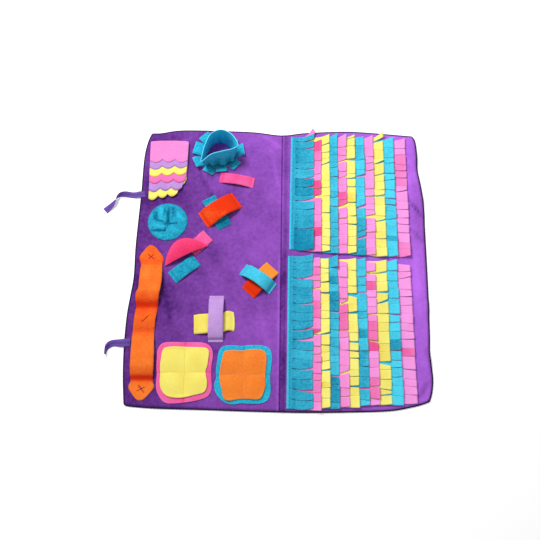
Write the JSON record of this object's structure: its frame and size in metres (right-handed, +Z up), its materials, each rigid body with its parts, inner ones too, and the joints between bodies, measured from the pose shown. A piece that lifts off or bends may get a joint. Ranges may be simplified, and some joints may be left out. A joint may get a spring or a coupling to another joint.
{
  "type": "snuffle mat",
  "caption": "Flat square purple cloth mat with felt fringe, scalloped flaps, loops, pockets, pads and a standing ring, where a dog noses out hidden treats.",
  "frame": {"origin": "middle of the mat's underside", "axes": "+Z up from the surface the mat lies on; +X from the ties' side towards the fringe, +Y from the pads' end towards the standing ring's end"},
  "size_m": [1.1556, 1.0404, 0.0818],
  "materials": {
    "purple_cloth": "brushed napped cloth",
    "dark_thread": "overlocked thread",
    "purple_ribbon": "woven ribbon",
    "teal_felt": "matte felt",
    "pink_felt": "matte felt",
    "hot_pink_felt": "matte felt",
    "yellow_felt": "matte felt",
    "orange_felt": "matte felt",
    "lilac_felt": "matte felt"
  },
  "bodies": {
    "root": {"mat_cloth": "purple_cloth", "mat_edging": "dark_thread", "fringe_back_01_teal": "teal_felt", "fringe_back_02_pink": "pink_felt", "fringe_back_03_yellow": "yellow_felt", "fringe_back_04_teal": "teal_felt", "fringe_back_05_pink": "pink_felt", "fringe_back_06_yellow": "yellow_felt", "fringe_back_07_teal": "teal_felt", "fringe_back_08_pink": "pink_felt", "fringe_back_09_yellow": "yellow_felt", "fringe_back_10_teal": "teal_felt", "fringe_back_11_pink": "pink_felt", "fringe_front_01_teal": "teal_felt", "fringe_front_02_pink": "pink_felt", "fringe_front_03_yellow": "yellow_felt", "fringe_front_04_teal": "teal_felt", "fringe_front_05_pink": "pink_felt", "fringe_front_06_yellow": "yellow_felt", "fringe_front_07_teal": "teal_felt", "fringe_front_08_pink": "pink_felt", "fringe_front_09_yellow": "yellow_felt", "fringe_front_10_teal": "teal_felt", "fringe_front_11_pink": "pink_felt", "scallop_1_yellow": "yellow_felt", "scallop_2_lilac": "lilac_felt", "scallop_3_pink": "pink_felt", "scallop_4_yellow": "yellow_felt", "scallop_5_lilac": "lilac_felt", "scallop_6_pink": "pink_felt", "ring_wall": "teal_felt", "ring_fringe": "teal_felt", "round_pocket": "teal_felt", "orange_strap": "orange_felt", "pad_left_under": "pink_felt", "pad_left_upper": "yellow_felt", "pad_right_under": "teal_felt", "pad_right_upper": "orange_felt", "band_yellow": "yellow_felt", "band_lilac": "lilac_felt", "band_right_teal": "teal_felt", "band_right_orange": "orange_felt", "band_back_teal": "teal_felt", "band_back_orange": "orange_felt", "band_left_teal": "teal_felt", "band_light_pink": "pink_felt", "band_ring_pink": "pink_felt", "half_round_pocket": "hot_pink_felt", "tie_back": "purple_ribbon", "tie_front": "purple_ribbon"}
  },
  "joints": []
}
